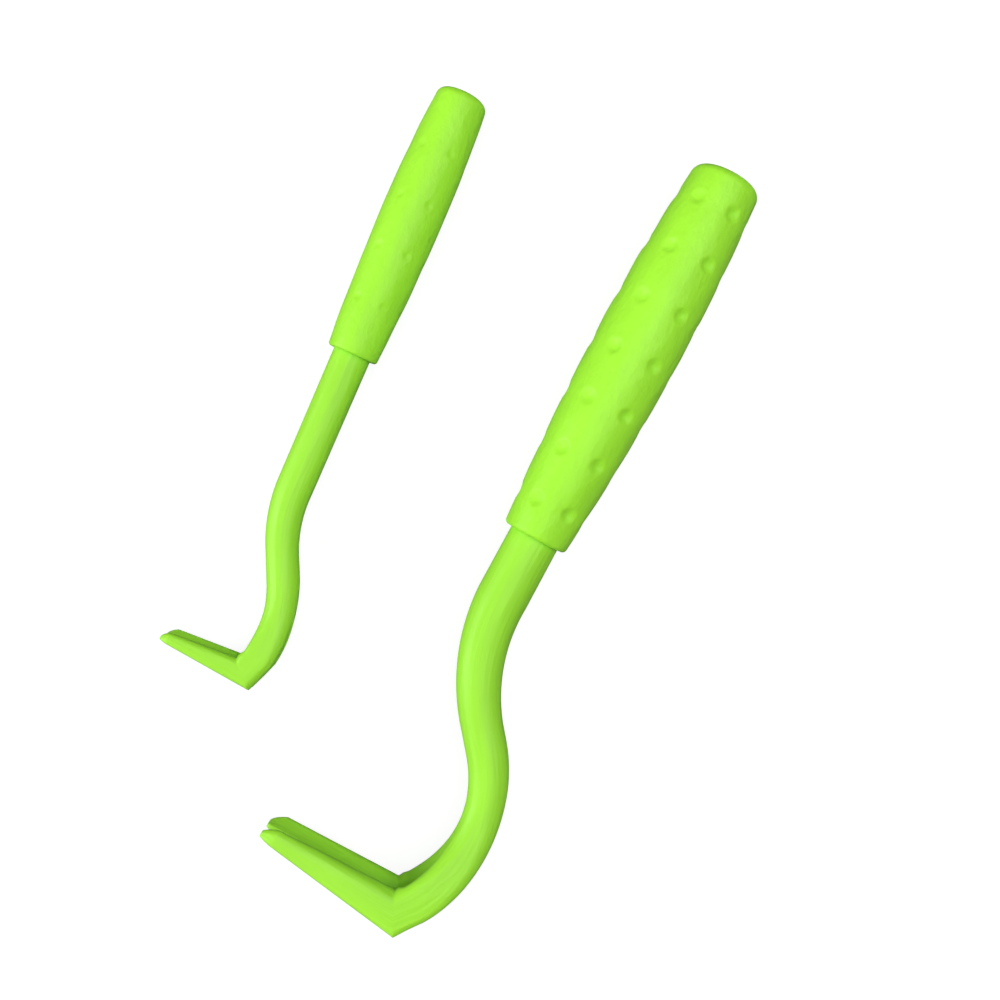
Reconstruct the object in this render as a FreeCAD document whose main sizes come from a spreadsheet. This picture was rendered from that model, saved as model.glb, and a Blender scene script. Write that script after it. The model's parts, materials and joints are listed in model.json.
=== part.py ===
"""Two moulded hooked lifting tools, a large one and a small one, lying side by side.

Each tool is two pieces: a hook (tang, gooseneck, heel and slotted fork) and a dimpled
barrel grip pressed over the tang.  All sizes are millimetres and degrees, and are kept in
the spreadsheet "dims".  Every tool is modelled in its own frame, with x along the grip
from butt to hook, x = 0 at the grip's mouth, y towards the back of the bend and z across
the fork, and is then placed as it lies on a table.
"""
import FreeCAD, Part
import math
import os
import Sketcher
from FreeCAD import Placement, Rotation, Vector

# name: (large tool, small tool, meaning)
SIZES = {
    "grip_length": (64.6, 44.95, "grip, butt to mouth"),
    "grip_belly_from_mouth": (35.5, 25.0, "widest place of the barrel"),
    "grip_belly_radius": (7.0, 5.0, "radius there"),
    "grip_butt_radius": (5.6, 4.1, "radius at the butt"),
    "grip_mouth_radius": (5.35, 4.15, "radius at the mouth"),
    "butt_edge_radius": (1.6, 1.3, "rounding of the butt"),
    "mouth_edge_radius": (0.45, 0.15, "rounding of the mouth shoulder"),
    "bore_depth": (45.0, 31.0, "blind bore for the tang"),
    "tang_length": (44.0, 30.0, "tang inside the grip"),
    "tang_chamfer": (1.0, 0.8, "lead-in on the tang"),
    "dimple_width": (2.5, 1.5, "across a dimple"),
    "dimple_depth": (0.5, 0.22, "into the barrel"),
    "dimple_pitch": (8.8, 8.68, "ring to ring"),
    "dimple_first": (5.7, 8.65, "first ring, from the mouth"),
    "neck_radius_mouth": (4.12, 3.06, "neck where it leaves the grip"),
    "neck_radius_bend": (4.17, 2.98, "neck at the start of the back bend"),
    "neck_radius_middle": (3.38, 2.64, "neck at the end of the back bend"),
    "neck_radius_lower": (3.12, 2.5, "neck in the forward bend"),
    "neck_straight": (10.8, 23.4, "straight run out of the grip"),
    "back_bend_radius": (31.2, 24.0, "first bend, towards the back"),
    "back_bend_angle": (39.0, 25.2, "turn of the first bend"),
    "neck_middle_run": (3.5, 4.3, "straight run between the bends"),
    "front_bend_radius": (22.4, 21.6, "second bend, towards the fork"),
    "front_bend_angle": (72.0, 36.0, "turn of the second bend"),
    "heel_along": (62.22, 53.87, "heel centre along the grip axis"),
    "heel_back": (8.43, 4.5, "heel centre off the grip axis"),
    "heel_turn": (63.1, 46.8, "mitre normal, turned from the grip axis"),
    "heel_half_length": (3.6, 2.8, "half of the mitre's length"),
    "heel_bulge": (-0.2, -0.1, "swelling of the back just above the heel; negative dips in"),
    "fork_half_width": (5.4, 3.3, "half of the fork's width at the heel"),
    "fork_back_radius": (1.5, 1.0, "outer long edges of the fork"),
    "fork_throat_radius": (1.0, 0.7, "throat long edges of the fork"),
    "fork_notch": (2.4, 1.6, "depth of the V along the throat side"),
    "bevel_throw": (13.5, 8.55, "fork reach where the tip bevel starts"),
    "bevel_along": (60.72, 53.34, "middle of the fork there"),
    "bevel_half_thickness": (1.43, 0.96, "half of the fork's thickness there"),
    "bevel_half_width": (4.8, 3.0, "half of the fork's width there"),
    "bevel_notch": (2.2, 1.3, "depth of the V there"),
    "tip_throw": (15.85, 9.85, "fork reach at the tips"),
    "tip_along": (61.3, 53.8, "middle of the fork at the tips"),
    "tip_half_thickness": (0.25, 0.2, "half of the fork's thickness at the tips"),
    "tip_half_width": (3.3, 2.1, "half of the fork's width at the tips"),
    "tip_bulge": (0.2, 0.15, "swelling that rounds the tips"),
    "slot_start": (40.0, 32.0, "narrow end of the slot along the grip axis"),
    "slot_half_start": (0.2, 0.2, "half of the slot there"),
    "slot_half_heel": (0.7, 0.55, "half of the slot at the heel"),
    "slot_half_tip": (1.5, 1.05, "half of the slot at the tips"),
    "place_x": (5.47, -23.77, "mouth of the grip on the table"),
    "place_y": (-6.0, 23.39, "mouth of the grip on the table"),
    "heading": (-118.33, -113.58, "direction of the grip axis on the table"),
}
DIMPLES_AROUND = 6
DIMPLE_RINGS = {"large": 7, "small": 4}
ROUND_SHARE = 0.96          # corner radius of a round section, as a share of its radius
NOTCH_DELAY = 2.2           # power that brings the V in later than the width, along the neck
FLARE_START = 0.3           # share of the front bend where the neck starts to widen
FLARE_AT_BEND_END = 0.95    # share of the widening that is reached at the bend's end
SECTION_PITCH = 3.6         # run between the neck's sections
SHOULDER_SHARE = 0.62       # where the tip's rounding starts, from the bevel to the tip
THROUGH = 60.0              # long enough to cut through everything
SMALL = 0.001               # tolerance for comparing places and volumes
FINE = 0.02                 # chord height when a shape is measured

doc = FreeCAD.newDocument("hook_pair")
sheet = doc.addObject("Spreadsheet::Sheet", "dims")


def fill_sheet():
    """Write every size of both tools to the sheet, one aliased plain number to a row."""
    row = 1
    for tool_index, tool in enumerate(("large", "small")):
        for name, entry in SIZES.items():
            sheet.set(f"A{row}", f"{tool} {name}")
            sheet.set(f"B{row}", str(entry[tool_index]))
            sheet.set(f"C{row}", entry[2])
            sheet.setAlias(f"B{row}", f"{tool}_{name}")
            row += 1
    doc.recompute()


def cell(tool, name):
    """Expression for a size of one tool."""
    return f"dims.{tool}_{name}"


def value(tool, name):
    """Number held by the sheet for a size of one tool."""
    return float(sheet.get(f"{tool}_{name}"))


def origin_feature(body, role):
    """One of the body's own base planes or axes."""
    return next(item for item in body.Origin.OriginFeatures if item.Role == role)


def new_sketch(body, name, plane):
    """Sketch attached flat to one of the body's own base planes."""
    sketch = body.newObject("Sketcher::SketchObject", name)
    sketch.AttachmentSupport = [(origin_feature(body, plane), "")]
    sketch.MapMode = "FlatFace"
    return sketch


def bind(sketch, kind, name, refs, number, formula):
    """Add a named dimension to a sketch and bind it to the sheet."""
    index = sketch.addConstraint(Sketcher.Constraint(kind, *refs, number))
    sketch.renameConstraint(index, name)
    sketch.setExpression(f"Constraints.{name}", formula)


def evaluate(formula):
    """Present number of an expression over the sheet."""
    return float(sheet.evalExpression(formula))


def section(body, name, spot, sizes):
    """Closed rounded section with a V on its throat side, square to the neck.

    spot is (x, y, turn) and sizes is (half thickness, half width, back radius, throat
    radius, notch), all as expressions.  In the sketch x points to the back of the bend.
    """
    sketch = new_sketch(body, name, "YZ_Plane")
    sketch.AttachmentOffset = Placement(Vector(0, 0, 0), Rotation(Vector(0, 1, 0), 1))
    sketch.setExpression("AttachmentOffset.Base.x", spot[1])
    sketch.setExpression("AttachmentOffset.Base.z", spot[0])
    sketch.setExpression("AttachmentOffset.Rotation.Angle", spot[2])
    thick, wide, back, throat, notch = (evaluate(size) for size in sizes)
    mid_back, mid_throat = thick - back, throat - thick
    run_x, run_y = notch - throat, throat - wide
    turn = math.atan2(run_y, run_x) - math.acos(throat / math.hypot(run_x, run_y))
    touch = turn % (2 * math.pi)
    near = Vector(mid_throat + throat * math.cos(touch), wide - throat + throat * math.sin(touch), 0)
    far = Vector(near.x, -near.y, 0)
    apex = Vector(notch - thick, 0, 0)

    def line(x0, y0, x1, y1):
        return Part.LineSegment(Vector(x0, y0, 0), Vector(x1, y1, 0))

    def arc(x, y, radius, start, end):
        return Part.ArcOfCircle(Part.Circle(Vector(x, y, 0), Vector(0, 0, 1), radius), start, end)

    quarter = math.pi / 2
    sketch.addGeometry([
        line(thick, back - wide, thick, wide - back),
        arc(mid_back, wide - back, back, 0, quarter),
        line(mid_back, wide, mid_throat, wide),
        arc(mid_throat, wide - throat, throat, quarter, touch),
        line(near.x, near.y, apex.x, apex.y),
        line(apex.x, apex.y, far.x, far.y),
        arc(mid_throat, throat - wide, throat, 4 * quarter - touch, 3 * quarter),
        line(mid_throat, -wide, mid_back, -wide),
        arc(mid_back, back - wide, back, 3 * quarter, 4 * quarter),
    ])
    joints = ((0, 2, 1, 1), (1, 2, 2, 1), (2, 2, 3, 1), (3, 2, 4, 1),
              (5, 2, 6, 1), (6, 2, 7, 1), (7, 2, 8, 1), (8, 2, 0, 1))
    for joint in joints:
        sketch.addConstraint(Sketcher.Constraint("Tangent", *joint))
    sketch.addConstraint(Sketcher.Constraint("Coincident", 4, 2, 5, 1))
    sketch.addConstraint(Sketcher.Constraint("PointOnObject", 4, 2, -1))
    sketch.addConstraint(Sketcher.Constraint("Vertical", 0))
    sketch.addConstraint(Sketcher.Constraint("Horizontal", 2))
    sketch.addConstraint(Sketcher.Constraint("Horizontal", 7))
    sketch.addConstraint(Sketcher.Constraint("Equal", 1, 8))
    sketch.addConstraint(Sketcher.Constraint("Equal", 3, 6))
    sketch.addConstraint(Sketcher.Constraint("Vertical", 3, 3, 6, 3))
    half, width, back_size, throat_size, depth = sizes
    bind(sketch, "DistanceX", "half_thickness", (-1, 1, 0, 1), thick, half)
    bind(sketch, "DistanceY", "near_width", (-1, 1, 2, 1), wide, width)
    bind(sketch, "DistanceY", "far_width", (7, 1, -1, 1), wide, width)
    bind(sketch, "Radius", "back_radius", (1,), back, back_size)
    bind(sketch, "Radius", "throat_radius", (3,), throat, throat_size)
    bind(sketch, "DistanceX", "throat_centre", (3, 3, -1, 1), -mid_throat, f"{half} - {throat_size}")
    bind(sketch, "DistanceX", "notch_point", (4, 2, -1, 1), thick - notch, f"{half} - {depth}")
    return sketch


def mix(first, last, share):
    """Expression for a value part of the way from one to another."""
    return f"({first} + (({last}) - ({first})) * {share:.4f})"


def neck_spots(tool):
    """Expressions for places along the neck's centre line: straight, bend, straight, bend."""
    straight, middle = cell(tool, "neck_straight"), cell(tool, "neck_middle_run")
    back_r, back_t = cell(tool, "back_bend_radius"), cell(tool, "back_bend_angle")
    front_r, front_t = cell(tool, "front_bend_radius"), cell(tool, "front_bend_angle")
    out_x = f"({straight} + {back_r} * sin({back_t}))"
    out_y = f"({back_r} * (1 - cos({back_t})))"
    centre_x = f"({out_x} + {middle} * cos({back_t}) + {front_r} * sin({back_t}))"
    centre_y = f"({out_y} + {middle} * sin({back_t}) - {front_r} * cos({back_t}))"

    def on_straight(share):
        return f"{straight} * {share:.4f}", "0", "0"

    def on_back_bend(share):
        turned = f"({back_t} * {share:.4f})"
        return (f"{straight} + {back_r} * sin({turned})",
                f"{back_r} * (1 - cos({turned}))", turned)

    def on_front_bend(share):
        turned = f"({back_t} - {front_t} * {share:.4f})"
        return (f"{centre_x} - {front_r} * sin({turned})",
                f"{centre_y} + {front_r} * cos({turned})", turned)

    return on_straight, on_back_bend, on_front_bend


def flare_share(share):
    """How far the neck has widened towards the fork, along the front bend: a soft S curve."""
    rise = max(0.0, (share - FLARE_START) / (1 - FLARE_START))
    return FLARE_AT_BEND_END * rise * rise * (3 - 2 * rise)


def steps_along(tool, bend):
    """Number of even steps that cut one bend into runs of about the section pitch."""
    length = value(tool, f"{bend}_radius") * math.radians(value(tool, f"{bend}_angle"))
    return round(length / SECTION_PITCH)


def neck_sections(tool, body):
    """Evenly spaced sections from the grip's mouth to the last one above the heel."""
    on_straight, on_back_bend, on_front_bend = neck_spots(tool)
    mouth, bend = cell(tool, "neck_radius_mouth"), cell(tool, "neck_radius_bend")
    middle, lower = cell(tool, "neck_radius_middle"), cell(tool, "neck_radius_lower")
    steps = round(value(tool, "neck_straight") / SECTION_PITCH)
    plan = [(on_straight(k / steps), mix(mouth, bend, k / steps), 0) for k in range(steps)]
    steps = steps_along(tool, "back_bend")
    plan += [(on_back_bend(k / steps), mix(bend, middle, k / steps), 0) for k in range(steps + 1)]
    steps = steps_along(tool, "front_bend")
    plan += [(on_front_bend(k / steps), mix(middle, lower, min(1, 3 * k / steps)),
              flare_share(k / steps)) for k in range(steps + 1)]
    sketches = []
    for index, (spot, radius, flare) in enumerate(plan):
        round_corner = f"({radius} * {ROUND_SHARE})"
        sizes = (radius,
                 mix(radius, cell(tool, "fork_half_width"), flare),
                 mix(round_corner, cell(tool, "fork_back_radius"), flare),
                 mix(round_corner, cell(tool, "fork_throat_radius"), flare),
                 f"({cell(tool, 'fork_notch')} * {flare ** NOTCH_DELAY:.4f})")
        sketches.append(section(body, f"neck_{index}", spot, sizes))
    return sketches


def heel_and_fork_sections(tool, body):
    """Swelling above the heel, heel mitre, bevel, rounded shoulder and tip, as sketches."""
    back, throat = cell(tool, "fork_back_radius"), cell(tool, "fork_throat_radius")
    notch, wide = cell(tool, "fork_notch"), cell(tool, "fork_half_width")
    thin, end = cell(tool, "bevel_half_thickness"), cell(tool, "tip_half_thickness")
    bend_end = (neck_spots(tool)[2](1), (cell(tool, "neck_radius_lower"), wide, back, throat, notch))
    heel = ((cell(tool, "heel_along"), cell(tool, "heel_back"), f"-{cell(tool, 'heel_turn')}"),
            (cell(tool, "heel_half_length"), wide, back, throat, notch))
    bevel = ((cell(tool, "bevel_along"), f"-{cell(tool, 'bevel_throw')}", "-90"),
             (thin, cell(tool, "bevel_half_width"), f"({thin} * 0.5)", f"({thin} * 0.5)",
              cell(tool, "bevel_notch")))
    tip = ((cell(tool, "tip_along"), f"-{cell(tool, 'tip_throw')}", "-90"),
           (end, cell(tool, "tip_half_width"), f"({end} * 0.8)", f"({end} * 0.8)", f"({end} * 0.2)"))
    plan = {"swelling": between(bend_end, heel, 0.5, cell(tool, "heel_bulge"), 0),
            "heel": heel,
            "bevel": bevel,
            "shoulder": between(bevel, tip, SHOULDER_SHARE, cell(tool, "tip_bulge"), 1),
            "tip": tip}
    return [section(body, name, *place) for name, place in plan.items()]


def between(first, last, share, bulge, sideways):
    """Spot and sizes part of the way between two sections, swollen to the back.

    sideways is how many times the swelling is also added to the half width.
    """
    (first_x, first_y, first_turn), first_sizes = first
    (last_x, last_y, last_turn), last_sizes = last
    turn = mix(first_turn, last_turn, share)
    spot = (f"({mix(first_x, last_x, share)} - {bulge} / 2 * sin({turn}))",
            f"({mix(first_y, last_y, share)} + {bulge} / 2 * cos({turn}))", turn)
    thick, wide, *others = (mix(*pair, share) for pair in zip(first_sizes, last_sizes))
    return spot, (f"({thick} + {bulge} / 2)", f"({wide} + {bulge} * {sideways})", *others)


def loft(body, name, sketches, ruled):
    """Additive loft through closed sections."""
    feature = body.newObject("PartDesign::AdditiveLoft", name)
    feature.Profile = sketches[0]
    feature.Sections = sketches[1:]
    feature.Ruled = ruled
    body.Tip = feature
    doc.recompute()
    return feature


def new_body(label):
    """Body with the label that names its file."""
    body = doc.addObject("PartDesign::Body", label)
    body.Label = label
    return body


def edges_where(shape, test):
    """Names of the edges whose bounding box passes the test."""
    return [f"Edge{index}" for index, edge in enumerate(shape.Edges, 1) if test(edge.BoundBox)]


def make_tang(tool, body):
    """Round tang that fills the grip's bore, with a lead-in at its end."""
    sketch = new_sketch(body, "tang_circle", "YZ_Plane")
    radius = cell(tool, "neck_radius_mouth")
    sketch.addGeometry(Part.Circle(Vector(0, 0, 0), Vector(0, 0, 1), evaluate(radius)))
    sketch.addConstraint(Sketcher.Constraint("Coincident", 0, 3, -1, 1))
    bind(sketch, "Radius", "tang_radius", (0,), evaluate(radius), radius)
    tang = body.newObject("PartDesign::Pad", "tang")
    tang.Profile = sketch
    tang.Reversed = True
    tang.setExpression("Length", cell(tool, "tang_length"))
    doc.recompute()
    end = -value(tool, "tang_length")
    lead_in = body.newObject("PartDesign::Chamfer", "tang_lead_in")
    lead_in.Base = (tang, edges_where(tang.Shape, lambda box: box.XMax < end + SMALL))
    lead_in.setExpression("Size", cell(tool, "tang_chamfer"))
    doc.recompute()


def wedge(body, name, plane, corners):
    """Closed sketch through corners given as (name, x, y) expressions; y may be negative."""
    sketch = new_sketch(body, name, plane)
    points = [Vector(evaluate(x), evaluate(y), 0) for _, x, y in corners]
    count = len(points)
    for index, point in enumerate(points):
        sketch.addGeometry(Part.LineSegment(point, points[(index + 1) % count]))
    for index, (label, x, y) in enumerate(corners):
        sketch.addConstraint(Sketcher.Constraint("Coincident", index, 1, (index - 1) % count, 2))
        bind(sketch, "DistanceX", f"{label}_x", (-1, 1, index, 1), points[index].x, x)
        bind(sketch, "DistanceY", f"{label}_y", (-1, 1, index, 1), points[index].y, y)
    return sketch


def pocket(body, name, sketch, length):
    """Pocket that cuts both ways from its sketch, and is checked to have cut."""
    before = body.Shape.Volume
    feature = body.newObject("PartDesign::Pocket", name)
    feature.Profile = sketch
    feature.Midplane = True
    feature.Length = length
    doc.recompute()
    if body.Shape.Volume > before - SMALL:
        raise RuntimeError(f"{body.Label}: {name} cut nothing")
    return feature


def cut_slot(tool, body):
    """One long V slot, narrow up the neck and wide at the tips, cut as two wedges."""
    start, heel = cell(tool, "slot_half_start"), cell(tool, "slot_half_heel")
    tip = cell(tool, "slot_half_tip")
    near_end, heel_x = cell(tool, "slot_start"), cell(tool, "heel_along")
    past_heel = f"({heel_x} + 2 * {cell(tool, 'heel_half_length')})"
    neck_sketch = wedge(body, "neck_slot_outline", "XZ_Plane", [
        ("near_start", near_end, start), ("near_heel", heel_x, heel),
        ("near_back", past_heel, heel), ("far_back", past_heel, f"-{heel}"),
        ("far_heel", heel_x, f"-{heel}"), ("far_start", near_end, f"-{start}")])
    pocket(body, "neck_slot", neck_sketch, THROUGH)
    heel_y, tip_y = cell(tool, "heel_back"), f"-({cell(tool, 'tip_throw')} + 1)"
    fork_sketch = wedge(body, "fork_slot_outline", "YZ_Plane", [
        ("far_heel", heel_y, f"-{heel}"), ("near_heel", heel_y, heel),
        ("near_tip", tip_y, tip), ("far_tip", tip_y, f"-{tip}")])
    fork_sketch.setExpression("AttachmentOffset.Base.z", heel_x)
    pocket(body, "fork_slot", fork_sketch, 4 * value(tool, "heel_half_length"))


def make_hook(tool):
    """Tang, gooseneck, heel and slotted fork of one tool."""
    body = new_body(f"{tool}_hook")
    make_tang(tool, body)
    fork = heel_and_fork_sections(tool, body)
    neck = neck_sections(tool, body)
    loft(body, "neck", neck, False)
    loft(body, "heel_and_fork", neck[-1:] + fork, True)
    cut_slot(tool, body)
    return body


def barrel_radius(tool, from_mouth):
    """Expression for the barrel's outside radius at a distance from the mouth."""
    belly, belly_x = cell(tool, "grip_belly_radius"), cell(tool, "grip_belly_from_mouth")
    towards_mouth = evaluate(from_mouth) < evaluate(belly_x)
    end = cell(tool, "grip_mouth_radius" if towards_mouth else "grip_butt_radius")
    run = belly_x if towards_mouth else f"({cell(tool, 'grip_length')} - {belly_x})"
    arc = arc_radius(run, f"({belly} - {end})")
    return f"({belly} - {arc} + sqrt({arc}^2 - ({from_mouth} - {belly_x})^2))"


def arc_radius(run, drop):
    """Expression for the radius of an arc that leaves level and drops over a run."""
    return f"(({run}^2 + {drop}^2) / (2 * {drop}))"


def make_grip(tool):
    """Barrel sleeve with a blind bore, rounded ends and rings of dimples."""
    body = new_body(f"{tool}_grip")
    length, bore = cell(tool, "grip_length"), cell(tool, "neck_radius_mouth")
    depth, belly_x = cell(tool, "bore_depth"), cell(tool, "grip_belly_from_mouth")
    belly, mouth, butt = (cell(tool, f"grip_{end}_radius") for end in ("belly", "mouth", "butt"))
    sketch = new_sketch(body, "barrel_outline", "XZ_Plane")
    spots = {name: Vector(evaluate(x), evaluate(y), 0) for name, x, y in (
        ("axis_butt", f"-{length}", "0"), ("butt", f"-{length}", butt),
        ("belly", f"-{belly_x}", belly), ("mouth", "0", mouth), ("bore_mouth", "0", bore),
        ("bore_end", f"-{depth}", bore), ("bore_axis", f"-{depth}", "0"))}

    def barrel_arc(start, end, run, drop):
        radius = evaluate(arc_radius(run, drop))
        centre = spots["belly"] - Vector(0, radius, 0)
        circle = Part.Circle(centre, Vector(0, 0, 1), radius)
        angles = [math.atan2(spots[n].y - centre.y, spots[n].x - centre.x) for n in (start, end)]
        return Part.ArcOfCircle(circle, *angles)

    sketch.addGeometry([
        Part.LineSegment(spots["axis_butt"], spots["butt"]),
        barrel_arc("belly", "butt", f"({length} - {belly_x})", f"({belly} - {butt})"),
        barrel_arc("mouth", "belly", belly_x, f"({belly} - {mouth})"),
        Part.LineSegment(spots["mouth"], spots["bore_mouth"]),
        Part.LineSegment(spots["bore_mouth"], spots["bore_end"]),
        Part.LineSegment(spots["bore_end"], spots["bore_axis"]),
        Part.LineSegment(spots["bore_axis"], spots["axis_butt"]),
    ])
    for joint in ((0, 2, 1, 2), (1, 1, 2, 2), (2, 1, 3, 1), (3, 2, 4, 1), (4, 2, 5, 1),
                  (5, 2, 6, 1), (6, 2, 0, 1)):
        sketch.addConstraint(Sketcher.Constraint("Coincident", *joint))
    for edge, kind in ((0, "Vertical"), (3, "Vertical"), (4, "Horizontal"), (5, "Vertical")):
        sketch.addConstraint(Sketcher.Constraint(kind, edge))
    sketch.addConstraint(Sketcher.Constraint("PointOnObject", 0, 1, -1))
    sketch.addConstraint(Sketcher.Constraint("PointOnObject", 5, 2, -1))
    sketch.addConstraint(Sketcher.Constraint("PointOnObject", 3, 1, -2))
    sketch.addConstraint(Sketcher.Constraint("Vertical", 1, 3, 1, 1))
    sketch.addConstraint(Sketcher.Constraint("Vertical", 2, 3, 1, 1))
    for kind, label, refs, formula in (
            ("DistanceX", "length", (0, 1, -1, 1), length),
            ("DistanceX", "belly_from_mouth", (1, 1, -1, 1), belly_x),
            ("DistanceX", "bore_depth", (4, 2, -1, 1), depth),
            ("DistanceY", "butt_radius", (-1, 1, 0, 2), butt),
            ("DistanceY", "belly_radius", (-1, 1, 1, 1), belly),
            ("DistanceY", "mouth_radius", (-1, 1, 3, 1), mouth),
            ("DistanceY", "bore_radius", (-1, 1, 4, 1), bore)):
        bind(sketch, kind, label, refs, evaluate(formula), formula)
    barrel = body.newObject("PartDesign::Revolution", "barrel")
    barrel.Profile = sketch
    barrel.ReferenceAxis = (origin_feature(body, "X_Axis"), [""])
    barrel.Angle = 360.0
    doc.recompute()
    round_ends(tool, body, barrel)
    for ring in range(DIMPLE_RINGS[tool]):
        dimple_ring(tool, body, ring)
    return body


def round_ends(tool, body, barrel):
    """Round the butt's edge and break the mouth's outer edge."""
    butt_x, bore = -value(tool, "grip_length"), value(tool, "neck_radius_mouth")
    ends = (("butt_round", "butt_edge_radius", lambda box: box.XMax < butt_x + SMALL),
            ("mouth_round", "mouth_edge_radius",
             lambda box: box.XMin > -SMALL and box.YMax > bore + SMALL))
    base = barrel
    for name, size, test in ends:
        fillet = body.newObject("PartDesign::Fillet", name)
        fillet.Base = (base, edges_where(base.Shape, test))
        fillet.setExpression("Radius", cell(tool, size))
        doc.recompute()
        base = fillet


def dimple_ring(tool, body, ring):
    """One ring of dimples: a ball cut into the barrel and repeated round it."""
    before = body.Shape.Volume
    width, depth = cell(tool, "dimple_width"), cell(tool, "dimple_depth")
    ball = f"(({width} / 2)^2 + {depth}^2) / (2 * {depth})"
    place = f"({cell(tool, 'dimple_first')} + {ring} * {cell(tool, 'dimple_pitch')})"
    reach = f"({barrel_radius(tool, place)} - {depth} + {ball})"
    cutter = body.newObject("PartDesign::SubtractiveSphere", f"dimple_{ring}")
    cutter.AttachmentSupport = [(origin_feature(body, "YZ_Plane"), "")]
    cutter.MapMode = "FlatFace"
    cutter.setExpression("Radius", ball)
    cutter.setExpression("AttachmentOffset.Base.x", f"{reach} * sin(180 / {DIMPLES_AROUND})")
    cutter.setExpression("AttachmentOffset.Base.y", f"{reach} * cos(180 / {DIMPLES_AROUND})")
    cutter.setExpression("AttachmentOffset.Base.z", f"-{place}")
    doc.recompute()
    pattern = body.newObject("PartDesign::PolarPattern", f"dimple_ring_{ring}")
    pattern.Originals = [cutter]
    pattern.Axis = (origin_feature(body, "X_Axis"), [""])
    pattern.Angle = 360.0
    pattern.Occurrences = DIMPLES_AROUND
    body.Tip = pattern
    doc.recompute()
    if body.Shape.Volume > before - SMALL:
        raise RuntimeError(f"{body.Label}: ring {ring} cut nothing")


def resting_tilt(tool):
    """Angle that brings the barrel's belly and the fork's flat side to the table together."""
    reach = value(tool, "heel_along") + value(tool, "heel_half_length")
    reach += value(tool, "grip_belly_from_mouth")
    lift = value(tool, "grip_belly_radius") - value(tool, "fork_half_width")
    drop = f"({cell(tool, 'grip_belly_radius')} - {cell(tool, 'grip_mouth_radius')})"
    curve = evaluate(arc_radius(cell(tool, "grip_belly_from_mouth"), drop))
    return math.degrees((reach - math.sqrt(reach ** 2 - 2 * curve * lift)) / curve)


def lay_down(tool, bodies):
    """Place one tool's pieces on the table, and return the box they fill."""
    turn = Rotation(Vector(0, 0, 1), value(tool, "heading"))
    tilt = Rotation(Vector(0, 1, 0), resting_tilt(tool))
    spot = Vector(value(tool, "place_x"), value(tool, "place_y"), 0)
    box = FreeCAD.BoundBox()
    for body in bodies:
        body.Placement = Placement(spot, turn.multiply(tilt))
    doc.recompute()
    for body in bodies:
        for point in body.Shape.tessellate(FINE)[0]:
            box.add(point)
    for body in bodies:
        body.Placement.Base.z -= box.ZMin
    box.move(Vector(0, 0, -box.ZMin))
    return box


def centre_on_origin(bodies, box):
    """Shift everything so that the middle of its footprint is the origin."""
    for body in bodies:
        body.Placement.Base -= Vector(box.Center.x, box.Center.y, 0)
    doc.recompute()


def check_and_write(bodies):
    """Stop on any failed object or bad solid, then write one file for each piece."""
    failed = [item.Name for item in doc.Objects if {"Invalid", "Error"} & set(item.State)]
    if failed:
        raise RuntimeError(f"failed objects: {failed}")
    os.makedirs("parts", exist_ok=True)
    for body in bodies:
        shape = body.Shape
        if shape.isNull() or not shape.isValid() or len(shape.Solids) != 1:
            raise RuntimeError(f"{body.Label} is not one sound solid")
        print(f"{body.Label}: {shape.Volume:.1f} mm3, {shape.BoundBox}")
        shape.exportStep(f"parts/{body.Label}.step")


def main():
    """Build both tools, lay them side by side and write their pieces."""
    fill_sheet()
    everything, footprint = [], FreeCAD.BoundBox()
    for tool in DIMPLE_RINGS:
        bodies = [make_hook(tool), make_grip(tool)]
        footprint.add(lay_down(tool, bodies))
        everything += bodies
    print(f"footprint {footprint}")
    centre_on_origin(everything, footprint)
    check_and_write(everything)


main()
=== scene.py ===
"""Looks for two moulded lime-green lifting hooks that lie side by side on a table that shows white.

Each tool is modelled in its own frame, as the design is: x along the grip from butt to
hook, y towards the back of the bend, z across the fork, x = 0 at the grip's mouth.  The
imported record's butt mounts say where each tool lies.  Sizes are millimetres and degrees.
"""
import json
import math

import bmesh
import bpy
from mathutils import Matrix, Vector, noise


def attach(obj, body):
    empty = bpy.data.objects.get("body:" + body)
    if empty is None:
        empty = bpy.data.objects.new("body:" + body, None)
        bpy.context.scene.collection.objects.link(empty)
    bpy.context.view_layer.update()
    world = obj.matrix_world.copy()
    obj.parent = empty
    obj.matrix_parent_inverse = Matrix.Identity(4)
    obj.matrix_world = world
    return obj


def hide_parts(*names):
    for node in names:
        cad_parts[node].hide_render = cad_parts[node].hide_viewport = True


MM = 0.001

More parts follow.
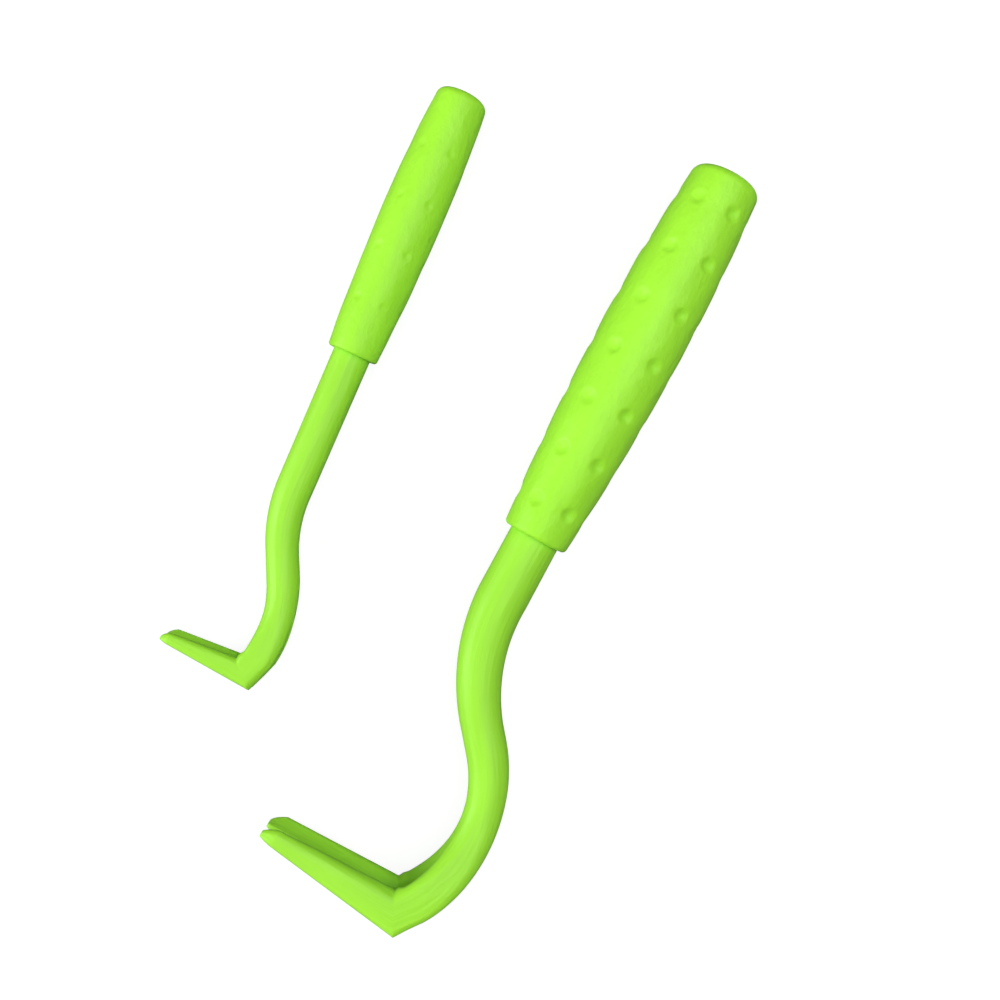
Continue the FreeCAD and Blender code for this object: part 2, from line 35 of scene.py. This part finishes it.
# driving sizes, name: (large tool, small tool)
SIZES = {
    "grip_length": (64.6, 44.95),
    "grip_belly_from_mouth": (35.5, 25.0),
    "grip_belly_radius": (7.0, 5.0),
    "grip_butt_radius": (5.6, 4.1),
    "grip_mouth_radius": (5.35, 4.15),
    "butt_edge_radius": (1.6, 1.3),
    "mouth_edge_radius": (0.75, 0.45),
    "dimple_width": (2.5, 1.5),
    "dimple_depth": (0.6, 0.2),
    "dimple_pitch": (8.8, 8.68),
    "dimple_first": (5.7, 8.65),
    "dimple_rings": (7, 4),
    "neck_radius_mouth": (4.12, 3.06),
    "neck_radius_bend": (4.17, 2.98),
    "neck_radius_middle": (3.38, 2.64),
    "neck_radius_lower": (3.12, 2.5),
    "neck_straight": (10.8, 23.4),
    "back_bend_radius": (31.2, 24.0),
    "back_bend_angle": (39.0, 25.2),
    "neck_middle_run": (3.5, 4.3),
    "front_bend_radius": (22.4, 21.6),
    "front_bend_angle": (72.0, 36.0),
    "heel_along": (62.22, 53.87),
    "heel_back": (8.43, 4.5),
    "heel_turn": (63.1, 46.8),
    "heel_half_length": (3.6, 2.8),
    "heel_bulge": (-0.2, -0.1),
    "fork_half_width": (5.4, 3.3),
    "fork_back_radius": (1.1, 1.4),
    "bend_throat_radius": (1.0, 0.7),
    "fork_throat_radius": (1.9, 1.15),
    "fork_notch": (2.4, 1.6),
    "bevel_throw": (13.5, 8.55),
    "bevel_along": (60.72, 53.34),
    "bevel_half_thickness": (1.43, 0.96),
    "bevel_half_width": (4.8, 3.0),
    "bevel_notch": (2.2, 1.3),
    "tip_throw": (15.9, 9.92),
    "tip_along": (61.3, 53.8),
    "tip_half_thickness": (0.35, 0.22),
    "tip_half_width": (3.5, 2.1),
    "slot_start": (40.0, 32.0),
    "slot_half_start": (0.2, 0.2),
    "slot_half_heel": (0.7, 0.55),
    "slot_half_tip": (1.5, 1.05),
}

# grips
DIMPLES_AROUND = 6
BOWL_SHARE = 0.85           # part of a dimple's depth that its bowl makes
BOWL_REACH = 1.12           # bowl's radius, as a share of the dimple's
BOWL_CURVE = 1.35           # power of the bowl's profile: a higher one is more pointed
HOLLOW_SHARE = 0.12         # part of the depth that a shallow hollow round the bowl adds
HOLLOW_REACH = 2.2          # radius over which the hollow fades, as a share of the dimple's
WAVER_DEPTH = 0.11          # most that the barrel's unevenness raises or lowers it
WAVER_SIZE = 5.0            # spread of one swell of the barrel's unevenness
WAVER_RADIUS = 5            # radius at which the unevenness is read round the barrel
BUTT_TAPER = 2              # run over which dimples and unevenness fade in from the butt
MOUTH_TAPER = 1.5           # and from the mouth
SEAM_RAISE = 0.025          # height of the mould's parting line
SEAM_WIDTH = 0.28           # how far off its middle the parting line has mostly faded
GATE_DEPTH = 0.22           # depth of the gate mark in the butt's middle
GATE_RADIUS = 0.75
STUB_HEIGHT = 0.1           # height of the stub of plastic in the gate mark's middle
STUB_RADIUS = 0.3
BORE_SHOWN = 2.5            # depth of bore and tang that is modelled behind the mouth
BORE_PLAY = 0.03            # gap all round between tang and bore
BORE_LEAD = 0.32            # rounding of the bore's mouth
LEDGE = 0.3                 # rings less than this wider than the bore stay plain
FACE_GAP = 0.01             # rings this close to the butt's face or the mouth stay plain

# hooks
ROUND_SHARE = 0.96          # corner rounding of the round neck, as a share of its radius
THINNING = 3                # the neck is down to its lower radius a third along the front bend
FLARE_START = 0.3           # share of the front bend where the neck begins to widen
FLARE_AT_BEND_END = 0.95    # how far from round neck to fork it has come at the bend's end
NOTCH_DELAY = 2.2           # power by which the throat's notch lags behind the flare
CROWN = 0.035               # share by which the fork's flanks fall away from their crest
CROWN_AT = 0.35             # crest's place, from the middle (0) to the back (1)
SLOT_EDGE = 0.18            # rounding of the slot's long edges
SLOT_OPENING = 1.2          # run over which the slot's narrow end rounds open
SLOT_OVERRUN = 1            # how far past the tips the slot would have its tip width
SLOT_MOUTH = 0.4            # how much each side of the slot opens round the noses
HEEL_CREASE = 0.25          # run over which the heel's corner turns
NOSE_ROUND = 0.6            # corner rounding of the tines' noses, as a share of half thickness
NOSE_SHARES = (0.2, 0.4, 0.6, 0.75, 0.86, 0.94, 0.98, 1.0)      # places along a nose
BEVEL_CURVE = 1.3           # power by which a nose's bevelled back face falls away
TANG_GAP = 0.1              # the shown tang ends this much short of the shown bore

# fineness of the meshes
MERGE = 0.0005              # points closer than this become one
AROUND_GRIP = 132           # points round a grip
GRIP_PITCH = 0.27           # run between rings of the barrel
BUTT_PITCH = 0.35           # run between rings of the butt's face
STATION_PITCH = 0.8         # run between rings of the hook
STRAIGHT_PITCH = 1.5        # run between rings of the neck's straight
BUTT_EDGE_STEP = 10         # degrees between rings round the butt's edge
MOUTH_EDGE_STEP = 18        # round the mouth's edge
BORE_EDGE_STEP = 22         # round the bore's edge
EDGE_POINTS = 4             # points of a hook's section on each edge of the slot
ROUND_POINTS = 9            # on each outer rounding
THROAT_POINTS = 5           # on the straights: the throat's notch
FLANK_POINTS = 5            # the side
BACK_POINTS = 3             # the back
WALL_POINTS = 4             # the slot's wall

# kind of piece: (pale tint, deep tint, specular level, stretch of the flow marks, their height)
# The marks are 1 / stretch times as long as they are wide.
PLASTICS = {
    "grip": ((0.41, 0.97, 0.047, 1.0), (0.375, 0.90, 0.04, 1.0), 0.24, 0.6, 0.2),
    "hook": ((0.385, 0.90, 0.047, 1.0), (0.345, 0.82, 0.04, 1.0), 0.3, 0.09, 0.28),
}
# noise scales are per millimetre, heights are millimetres
TINT_SCALE, TINT_STRETCH = 0.16, 0.35
TINT_LOWEST = 0.35          # least share of the pale tint
GLOSS_SCALE, ROUGHNESS_LOW, ROUGHNESS_HIGH = 1.1, 0.36, 0.50
FLOW_SCALE = 0.42           # broad flow marks
DRAW_SCALE, DRAW_HEIGHT = 1.3, 0.09                         # narrower marks over them
SKIN_SCALE, SKIN_HEIGHT, SKIN_STRENGTH = 6.0, 0.012, 0.5    # fine moulded skin
NOISE_BAND = (0.35, 0.65)   # the noise between these values spans a ramp

# stage, in metres
TABLE_HALF = 3.0
TABLE_GREY, TABLE_ROUGHNESS, TABLE_SHINE = 0.18, 0.9, 0.1
SURROUND_GLOW = 0.88        # glow of table and world that only the picture shows
SOFT_BOX_SIZE = 0.42
SOFT_BOX_DISTANCE = 0.7
# name: (azimuth, elevation, watts)
SOFT_BOXES = {
    "overhead": (0, 90, 1.32),
    "right_high": (0, 58, 1.72),
    "back_right": (60, 58, 0.98),
    "left_low": (180, 24, 3.30),
    "front_left": (225, 24, 0.93),
}
CAMERA_PLACE = (0.0069, 0.0013, 0.1974)
SENSOR, FOCAL_LENGTH = 36.0, 43.2       # millimetres
NEAREST_SEEN = 0.01

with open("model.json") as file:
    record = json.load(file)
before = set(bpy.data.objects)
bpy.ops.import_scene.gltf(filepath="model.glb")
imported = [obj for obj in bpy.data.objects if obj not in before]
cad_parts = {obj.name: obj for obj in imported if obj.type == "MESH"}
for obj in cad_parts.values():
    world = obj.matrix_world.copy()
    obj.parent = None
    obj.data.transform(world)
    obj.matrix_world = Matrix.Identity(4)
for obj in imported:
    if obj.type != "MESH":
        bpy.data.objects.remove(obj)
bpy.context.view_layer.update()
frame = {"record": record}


class Tool:
    """Sizes and place of one tool."""

    def __init__(self, name):
        self.name = name
        column = ("large", "small").index(name)
        for size, pair in SIZES.items():
            setattr(self, size, pair[column])
        mount = next(m for m in frame["record"]["mounts"] if m["name"] == f"{name}_butt_face")
        along = -Vector(mount["axis"]).normalized()
        back = Vector((0, 0, 1)).cross(along).normalized()
        up = along.cross(back)
        mouth = Vector(mount["pos_m"]) + along * self.grip_length * MM
        self.place = Matrix.Translation(mouth) @ Matrix((along, back, up)).transposed().to_4x4()
        self.place = self.place @ Matrix.Scale(MM, 4)


def mix(first, last, share):
    """Value part of the way from one to another."""
    return first + (last - first) * share


def smooth(share):
    """Soft S curve from 0 to 1."""
    share = min(1.0, max(0.0, share))
    return share * share * (3 - 2 * share)


def even_steps(start, end, pitch):
    """Evenly spaced values from start to end, both counted."""
    steps = max(1, round(abs(end - start) / pitch))
    return [mix(start, end, k / steps) for k in range(steps + 1)]


def join_rings(bm, first, second, count):
    """Faces between two closed rings of points, over their first so many steps."""
    for k in range(count):
        after = (k + 1) % len(first)
        bm.faces.new((first[k], first[after], second[after], second[k]))


def mesh_object(name, bm, material, tool, part):
    """Finish a bmesh built in the tool's frame as a shown piece that replaces its node."""
    bmesh.ops.remove_doubles(bm, verts=bm.verts, dist=MERGE)
    bmesh.ops.recalc_face_normals(bm, faces=bm.faces)
    bm.transform(tool.place)
    mesh = bpy.data.meshes.new(name)
    bm.to_mesh(mesh)
    bm.free()
    for face in mesh.polygons:
        face.use_smooth = True
    mesh.materials.append(material)
    piece = bpy.data.objects.new(name, mesh)
    bpy.context.scene.collection.objects.link(piece)
    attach(piece, f"{tool.name}_tool")
    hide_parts(f"{tool.name}_{part}")
    return piece


# ---------------------------------------------------------------- grips

def barrel_radius(tool, x):
    """Outside radius of the plain barrel: one arc to the mouth and one to the butt."""
    past = -x - tool.grip_belly_from_mouth
    if past < 0:
        run, drop = tool.grip_belly_from_mouth, tool.grip_belly_radius - tool.grip_mouth_radius
    else:
        run = tool.grip_length - tool.grip_belly_from_mouth
        drop = tool.grip_belly_radius - tool.grip_butt_radius
    arc = (run ** 2 + drop ** 2) / (2 * drop)
    return tool.grip_belly_radius - arc + math.sqrt(arc ** 2 - past ** 2)


def grip_profile(tool):
    """(x, radius) from the middle of the butt, along the barrel and into the bore."""
    butt, edge, lip = -tool.grip_length, tool.butt_edge_radius, tool.mouth_edge_radius
    flat = tool.grip_butt_radius - edge
    bore = tool.neck_radius_mouth
    profile = [(butt, radius) for radius in even_steps(0, flat, BUTT_PITCH)]
    for turn in even_steps(90, 0, BUTT_EDGE_STEP)[1:]:
        x = butt + edge - edge * math.sin(math.radians(turn))
        blend = barrel_radius(tool, x) - tool.grip_butt_radius
        profile.append((x, flat + edge * math.cos(math.radians(turn)) + blend))
    for x in even_steps(butt + edge, -lip, GRIP_PITCH)[1:]:
        profile.append((x, barrel_radius(tool, x)))
    for turn in even_steps(0, 90, MOUTH_EDGE_STEP)[1:]:
        profile.append((-lip + lip * math.sin(math.radians(turn)),
                        barrel_radius(tool, -lip) - lip + lip * math.cos(math.radians(turn))))
    inner = bore + BORE_PLAY
    lead = min(BORE_LEAD, profile[-1][1] - inner)
    for turn in even_steps(0, 90, BORE_EDGE_STEP):
        profile.append((-lead + lead * math.cos(math.radians(turn)),
                        inner + lead - lead * math.sin(math.radians(turn))))
    profile.append((-BORE_SHOWN, inner))
    profile += [(-BORE_SHOWN, bore / 2), (-BORE_SHOWN, 0)]
    return profile


def dimple_offset(tool, x, angle, radius):
    """How far a dimple, and the shallow hollow round it, push the barrel's surface in."""
    ring = round((-x - tool.dimple_first) / tool.dimple_pitch)
    ring = min(tool.dimple_rings - 1, max(0, ring))
    step = 2 * math.pi / DIMPLES_AROUND
    off_row = angle - round(angle / step) * step
    run = x + tool.dimple_first + ring * tool.dimple_pitch
    apart = math.hypot(run, radius * off_row) / (tool.dimple_width / 2)
    bowl = BOWL_SHARE * max(0.0, 1 - (apart / BOWL_REACH) ** 2) ** BOWL_CURVE
    hollow = HOLLOW_SHARE * math.exp(-(apart / HOLLOW_REACH) ** 2)
    return -tool.dimple_depth * (bowl + hollow)


def waver(x, angle):
    """Shallow uneven swell of the moulded barrel."""
    spot = Vector((x, WAVER_RADIUS * math.cos(angle), WAVER_RADIUS * math.sin(angle)))
    return WAVER_DEPTH * noise.noise(spot / WAVER_SIZE)


def parting_line(angle, radius):
    """Faint raised line where the mould halves met, on the plane of the bend."""
    off_plane = abs(math.sin(angle)) * radius
    return SEAM_RAISE * math.exp(-(off_plane / SEAM_WIDTH) ** 2)


def gate_mark(radius):
    """How deep the gate mark is at one distance from the middle of the butt."""
    ring = GATE_DEPTH * math.exp(-(radius / GATE_RADIUS) ** 4)
    return ring - STUB_HEIGHT * math.exp(-(radius / STUB_RADIUS) ** 4)


def make_grip(tool, material):
    """Dimpled barrel sleeve with a gate mark in the butt and a shallow bore.

    Its grain is each point's place in the tool's frame, which the plastic's noise reads.
    """
    bm = bmesh.new()
    grain = bm.verts.layers.float_vector.new("grain")
    rings = []
    for x, radius in grip_profile(tool):
        on_butt_face = x <= -tool.grip_length + MERGE
        on_barrel = (-tool.grip_length + FACE_GAP < x < -FACE_GAP
                     and radius > tool.neck_radius_mouth + LEDGE)
        faded = smooth((x + tool.grip_length) / BUTT_TAPER) * smooth(-x / MOUTH_TAPER)
        ring = []
        for k in range(AROUND_GRIP):
            # angle 0 is the back of the bend: a row of dimples lies there, and two straddle the top
            angle = 2 * math.pi * (k + 0.5) / AROUND_GRIP
            skin = radius
            if on_barrel:
                skin += faded * (dimple_offset(tool, x, angle, radius) + waver(x, angle))
                skin += parting_line(angle, radius)
            dip = gate_mark(radius) if on_butt_face else 0.0
            vert = bm.verts.new((x + dip, skin * math.cos(angle), skin * math.sin(angle)))
            vert[grain] = (x, skin * math.cos(angle), skin * math.sin(angle))
            ring.append(vert)
        rings.append(ring)
    for first, second in zip(rings, rings[1:]):
        join_rings(bm, first, second, AROUND_GRIP)
    return mesh_object(f"{tool.name}_grip_skin", bm, material, tool, "grip")


# ---------------------------------------------------------------- hooks

def neck_spots(tool):
    """Functions for places on the neck's centre line, each as (x, y, turn in radians)."""
    back_r, back_t = tool.back_bend_radius, math.radians(tool.back_bend_angle)
    front_r, front_t = tool.front_bend_radius, math.radians(tool.front_bend_angle)
    out_x = tool.neck_straight + back_r * math.sin(back_t)
    out_y = back_r * (1 - math.cos(back_t))
    in_x = out_x + tool.neck_middle_run * math.cos(back_t)
    in_y = out_y + tool.neck_middle_run * math.sin(back_t)
    centre_x, centre_y = in_x + front_r * math.sin(back_t), in_y - front_r * math.cos(back_t)

    def on_back_bend(share):
        turn = back_t * share
        return tool.neck_straight + back_r * math.sin(turn), back_r * (1 - math.cos(turn)), turn

    def on_middle(share):
        return mix(out_x, in_x, share), mix(out_y, in_y, share), back_t

    def on_front_bend(share):
        turn = back_t - front_t * share
        return centre_x - front_r * math.sin(turn), centre_y + front_r * math.cos(turn), turn

    return on_back_bend, on_middle, on_front_bend


def slot_half(tool, x):
    """Half width of the slot in the neck, from its rounded narrow end to the heel."""
    share = (x - tool.slot_start) / (tool.heel_along - tool.slot_start)
    full = mix(tool.slot_half_start, tool.slot_half_heel, share)
    return full * smooth((x - tool.slot_start) / SLOT_OPENING)


def arc_points(centre, radius, start, end, count):
    """Points round an arc, angles in radians."""
    return [(centre[0] + radius * math.cos(mix(start, end, k / (count - 1))),
             centre[1] + radius * math.sin(mix(start, end, k / (count - 1)))) for k in range(count)]


def line_points(start, end, count):
    """Points strictly between two points."""
    return [(mix(start[0], end[0], k / (count + 1)), mix(start[1], end[1], k / (count + 1)))
            for k in range(1, count + 1)]


def half_outline(sizes, slot):
    """Points (towards the back, sideways) of one half of a section.

    They run from the slot's edge in the throat round the side to the slot's edge in the
    back, and then down the slot's wall to where they began.  Also gives how many of them
    are outside the slot.
    """
    thick, wide, back, throat, notch, crown = sizes
    mid_throat = throat - thick
    run_x, run_y = notch - throat, throat - wide
    touch = math.atan2(run_y, run_x) - math.acos(min(1.0, throat / math.hypot(run_x, run_y)))
    touch %= 2 * math.pi
    start = (mid_throat + throat * math.cos(touch), wide - throat + throat * math.sin(touch))
    apex = notch - thick
    slope = math.atan2(start[1], start[0] - apex)
    edge = min(SLOT_EDGE, slot / 2)
    reach = edge * math.tan(slope / 2)
    corner = (apex + slot / math.tan(slope) + reach, slot)
    quarter = math.pi / 2
    points = arc_points((corner[0], slot + edge), edge, -quarter, slope - 3 * quarter, EDGE_POINTS)
    points += line_points(points[-1], start, THROAT_POINTS)
    points += arc_points((mid_throat, wide - throat), throat, touch, quarter, ROUND_POINTS)
    points += line_points((mid_throat, wide), (thick - back, wide), FLANK_POINTS)
    points += arc_points((thick - back, wide - back), back, quarter, 0, ROUND_POINTS)
    points += line_points((thick, wide - back), (thick, slot + edge), BACK_POINTS)
    points += arc_points((thick - edge, slot + edge), edge, 0, -quarter, EDGE_POINTS)
    skin = len(points)
    points += line_points((thick - edge, slot), corner, WALL_POINTS)
    # the crown narrows the section away from its crest
    return [(u, v * (1 - crown * (u / thick - CROWN_AT) ** 2)) for u, v in points], skin


def flare_share(share):
    """How far the neck has widened towards the fork, along the front bend."""
    return FLARE_AT_BEND_END * smooth((share - FLARE_START) / (1 - FLARE_START))


def neck_stations(tool):
    """(spot, sizes, slot) all along the round neck and the flare."""
    on_back_bend, on_middle, on_front_bend = neck_spots(tool)
    stations = []

    def add(spot, radius, flare):
        corner = radius * ROUND_SHARE
        sizes = (radius, mix(radius, tool.fork_half_width, flare),
                 mix(corner, tool.fork_back_radius, flare),
                 mix(corner, tool.bend_throat_radius, flare), tool.fork_notch * flare ** NOTCH_DELAY,
                 CROWN * flare)
        stations.append((spot, sizes, slot_half(tool, spot[0])))

    for x in even_steps(-BORE_SHOWN + TANG_GAP, tool.neck_straight, STRAIGHT_PITCH):
        share = max(0.0, x / tool.neck_straight)
        add((x, 0.0, 0.0), mix(tool.neck_radius_mouth, tool.neck_radius_bend, share), 0.0)
    run = tool.back_bend_radius * math.radians(tool.back_bend_angle)
    for share in even_steps(0, 1, STATION_PITCH / run)[1:]:
        add(on_back_bend(share), mix(tool.neck_radius_bend, tool.neck_radius_middle, share), 0.0)
    for share in even_steps(0, 1, STATION_PITCH / tool.neck_middle_run)[1:]:
        add(on_middle(share), tool.neck_radius_middle, 0.0)
    run = tool.front_bend_radius * math.radians(tool.front_bend_angle)
    for share in even_steps(0, 1, STATION_PITCH / run)[1:]:
        radius = mix(tool.neck_radius_middle, tool.neck_radius_lower, min(1, THINNING * share))
        add(on_front_bend(share), radius, flare_share(share))
    return stations


def between(first, last, share, bulge):
    """Section part of the way between two, swollen to the back."""
    x, y, turn = (mix(a, b, share) for a, b in zip(first[0], last[0]))
    thick, wide, *others = (mix(a, b, share) for a, b in zip(first[1], last[1]))
    spot = (x - bulge / 2 * math.sin(turn), y + bulge / 2 * math.cos(turn), turn)
    return spot, (thick + bulge / 2, wide, *others), mix(first[2], last[2], share)


def fork_keys(tool):
    """(spot, sizes, slot) of the heel, the bevel's start and places round the tines' noses."""
    back, throat, notch = tool.fork_back_radius, tool.fork_throat_radius, tool.fork_notch
    thin, end, down = tool.bevel_half_thickness, tool.tip_half_thickness, -math.pi / 2

    def fork_slot(throw):
        share = (throw + tool.heel_back) / (tool.tip_throw + SLOT_OVERRUN + tool.heel_back)
        return mix(tool.slot_half_heel, tool.slot_half_tip, share)

    heel = ((tool.heel_along, tool.heel_back, -math.radians(tool.heel_turn)),
            (tool.heel_half_length, tool.fork_half_width, back, throat, notch, CROWN),
            tool.slot_half_heel)
    bevel = ((tool.bevel_along, -tool.bevel_throw, down),
             (thin, tool.bevel_half_width, thin * NOSE_ROUND, thin * NOSE_ROUND,
              tool.bevel_notch, CROWN),
             fork_slot(tool.bevel_throw))
    nose = []
    for share in NOSE_SHARES:
        # half a straight taper and half a quarter round
        gone = (share + 1 - math.sqrt(1 - share * share)) / 2
        back_face = mix(tool.bevel_along + thin, tool.tip_along + end, share ** BEVEL_CURVE)
        throat_face = mix(tool.bevel_along - thin, tool.tip_along - end, gone)
        half = (back_face - throat_face) / 2
        throw = mix(tool.bevel_throw, tool.tip_throw, share)
        side = mix(tool.bevel_half_width, tool.tip_half_width, gone)
        nose.append((((back_face + throat_face) / 2, -throw, down),
                     (half, side, half * NOSE_ROUND, half * NOSE_ROUND,
                      mix(tool.bevel_notch, end, gone), CROWN),
                     fork_slot(throw) + SLOT_MOUTH * gone * gone))
    return heel, bevel, nose


def ring_at(station):
    """Half outline of a station as (point in the tool's frame, flat place) pairs."""
    (x, y, turn), sizes, slot = station
    sin, cos = math.sin(turn), math.cos(turn)
    return [(Vector((x - u * sin, y + u * cos, v)), Vector((u, v)))
            for u, v in half_outline(sizes, slot)[0]]


def hook_rings(tool):
    """Half outlines along the hook, and for each whether the slot has opened there."""
    neck = neck_stations(tool)
    rings = [ring_at(station) for station in neck]
    opened = [station[2] > 0 for station in neck]
    heel, bevel, nose = fork_keys(tool)
    chain = [neck[-1], between(neck[-1], heel, 0.5, tool.heel_bulge), heel, bevel, *nose]
    for first, last in zip(chain, chain[1:]):
        start, end = ring_at(first), ring_at(last)
        run = (Vector(last[0][:2]) - Vector(first[0][:2])).length
        shares = even_steps(0, 1, STATION_PITCH / run)[1:]
        if heel in (first, last):
            shares = sorted({*shares, HEEL_CREASE / run, 1 - HEEL_CREASE / run})
        for share in shares:
            rings.append([(a.lerp(b, share), flat_a.lerp(flat_b, share))
                          for (a, flat_a), (b, flat_b) in zip(start, end)])
            opened.append(True)
    return rings, opened


def make_hook(tool, material):
    """Neck, heel and two-tined fork as one closed skin, with the slot open between them.

    Its grain is each point's place as if the hook were straight, so that flow marks follow
    the bends.
    """
    rings, opened = hook_rings(tool)
    count, skin = len(rings[0]), half_outline(neck_stations(tool)[0][1], 0.0)[1]
    bm = bmesh.new()
    grain = bm.verts.layers.float_vector.new("grain")
    for side in (1, -1):
        rows, along, last_middle = [], 0.0, None
        for ring in rings:
            middle = sum((point.xy for point, flat in ring), Vector((0, 0))) / count
            along += (middle - last_middle).length if last_middle else 0.0
            last_middle = middle
            row = []
            for point, flat in ring:
                vert = bm.verts.new((point.x, point.y, side * point.z))
                vert[grain] = (along, flat.x, side * flat.y)
                row.append(vert)
            rows.append(row)
        for first, second, walled in zip(rows, rows[1:], opened[1:]):
            join_rings(bm, first, second, count if walled else skin - 1)
        bm.faces.new(rows[-1])
        bm.faces.new(rows[0][:skin])
    bmesh.ops.remove_doubles(bm, verts=bm.verts, dist=MERGE)
    bmesh.ops.dissolve_degenerate(bm, edges=bm.edges, dist=MERGE)
    unused = [vert for vert in bm.verts if not vert.link_faces]
    bmesh.ops.delete(bm, geom=unused, context="VERTS")
    return mesh_object(f"{tool.name}_hook_skin", bm, material, tool, "hook")


# ---------------------------------------------------------------- materials, light, camera

def plastic(name, part, seed):
    """Satin lime plastic: a drifting tint, streaky gloss, flow marks and a fine moulded skin."""
    pale, deep, shine, stretch, flow_height = PLASTICS[part]
    material = bpy.data.materials.new(name)
    material.use_nodes = True
    nodes, links = material.node_tree.nodes, material.node_tree.links
    shader = nodes["Principled BSDF"]
    shader.inputs["Specular IOR Level"].default_value = shine
    grain = nodes.new("ShaderNodeAttribute")
    grain.attribute_name = "grain"

    def noise_at(scale, along, detail):
        place = nodes.new("ShaderNodeMapping")
        place.inputs["Scale"].default_value = (along, 1, 1)
        place.inputs["Location"].default_value = (seed, seed * 0.7, seed * 1.3)
        links.new(grain.outputs["Vector"], place.inputs["Vector"])
        texture = nodes.new("ShaderNodeTexNoise")
        texture.inputs["Scale"].default_value = scale
        texture.inputs["Detail"].default_value = detail
        links.new(place.outputs["Vector"], texture.inputs["Vector"])
        return texture.outputs["Fac"]

    def ramp(source, low, high):
        band = nodes.new("ShaderNodeMapRange")
        band.inputs["From Min"].default_value = NOISE_BAND[0]
        band.inputs["From Max"].default_value = NOISE_BAND[1]
        band.inputs["To Min"].default_value = low
        band.inputs["To Max"].default_value = high
        links.new(source, band.inputs["Value"])
        return band.outputs["Result"]

    tint = nodes.new("ShaderNodeMix")
    tint.data_type = "RGBA"
    tint.inputs["A"].default_value = deep
    tint.inputs["B"].default_value = pale
    drift = ramp(noise_at(TINT_SCALE, TINT_STRETCH, 3), TINT_LOWEST, 1.0)
    links.new(drift, tint.inputs["Factor"])
    links.new(tint.outputs["Result"], shader.inputs["Base Color"])
    gloss = ramp(noise_at(GLOSS_SCALE, stretch, 3), ROUGHNESS_LOW, ROUGHNESS_HIGH)
    links.new(gloss, shader.inputs["Roughness"])

    def bumped(source, strength, distance, before=None):
        bump = nodes.new("ShaderNodeBump")
        bump.inputs["Strength"].default_value = strength
        bump.inputs["Distance"].default_value = distance * MM
        links.new(source, bump.inputs["Height"])
        if before is not None:
            links.new(before, bump.inputs["Normal"])
        return bump.outputs["Normal"]

    flow = bumped(noise_at(FLOW_SCALE, stretch, 2), 1.0, flow_height)
    draw = bumped(noise_at(DRAW_SCALE, stretch, 2), 1.0, DRAW_HEIGHT, flow)
    skin = bumped(noise_at(SKIN_SCALE, 1, 2), SKIN_STRENGTH, SKIN_HEIGHT, draw)
    links.new(skin, shader.inputs["Normal"])
    return material


def soft_box(name, azimuth, elevation, power):
    """Square soft box that faces the tools from one side, angles in degrees."""
    azimuth, elevation = math.radians(azimuth), math.radians(elevation)
    away = Vector((math.cos(azimuth) * math.cos(elevation),
                   math.sin(azimuth) * math.cos(elevation), math.sin(elevation)))
    lamp = bpy.data.lights.new(name, "AREA")
    lamp.energy, lamp.size = power, SOFT_BOX_SIZE
    holder = bpy.data.objects.new(name, lamp)
    holder.location = away * SOFT_BOX_DISTANCE
    holder.rotation_euler = (-away).to_track_quat("-Z", "Y").to_euler()
    bpy.context.scene.collection.objects.link(holder)


def shown_white(tree, strength_socket, strength):
    """Make a glow that whitens the surround in a picture without lighting the tools."""
    path = tree.nodes.new("ShaderNodeLightPath")
    level = tree.nodes.new("ShaderNodeMath")
    level.operation = "MULTIPLY"
    level.inputs[1].default_value = strength
    tree.links.new(path.outputs["Is Camera Ray"], level.inputs[0])
    tree.links.new(level.outputs["Value"], strength_socket)


def make_studio():
    """Grey table that shows white, with soft boxes above it, to the left and to the right."""
    bm = bmesh.new()
    bmesh.ops.create_grid(bm, x_segments=1, y_segments=1, size=TABLE_HALF)
    mesh = bpy.data.meshes.new("table")
    bm.to_mesh(mesh)
    bm.free()
    table = bpy.data.objects.new("table", mesh)
    bpy.context.scene.collection.objects.link(table)
    matte = bpy.data.materials.new("table_matte")
    matte.use_nodes = True
    shader = matte.node_tree.nodes["Principled BSDF"]
    shader.inputs["Base Color"].default_value = (TABLE_GREY, TABLE_GREY, TABLE_GREY, 1)
    shader.inputs["Emission Color"].default_value = (1, 1, 1, 1)
    shader.inputs["Roughness"].default_value = TABLE_ROUGHNESS
    shader.inputs["Specular IOR Level"].default_value = TABLE_SHINE
    shown_white(matte.node_tree, shader.inputs["Emission Strength"], SURROUND_GLOW)
    mesh.materials.append(matte)
    for name, box in SOFT_BOXES.items():
        soft_box(name, *box)
    world = bpy.data.worlds.new("surround")
    bpy.context.scene.world = world
    world.use_nodes = True
    background = world.node_tree.nodes["Background"]
    background.inputs["Color"].default_value = (1, 1, 1, 1)
    shown_white(world.node_tree, background.inputs["Strength"], SURROUND_GLOW)


def make_camera():
    """Camera looking straight down, a little to the right of the pair's middle."""
    lens = bpy.data.cameras.new("camera")
    lens.sensor_width, lens.lens, lens.clip_start = SENSOR, FOCAL_LENGTH, NEAREST_SEEN
    camera = bpy.data.objects.new("camera", lens)
    camera.location = CAMERA_PLACE
    bpy.context.scene.collection.objects.link(camera)
    bpy.context.scene.camera = camera
    bpy.context.scene.view_settings.view_transform = "Standard"


def main():
    """Build everything."""
    make_camera()
    make_studio()
    for seed, name in enumerate(("large", "small")):
        tool = Tool(name)
        make_grip(tool, plastic(f"{name}_grip_lime", "grip", 11.0 + seed))
        make_hook(tool, plastic(f"{name}_hook_lime", "hook", 31.0 + seed))


main()
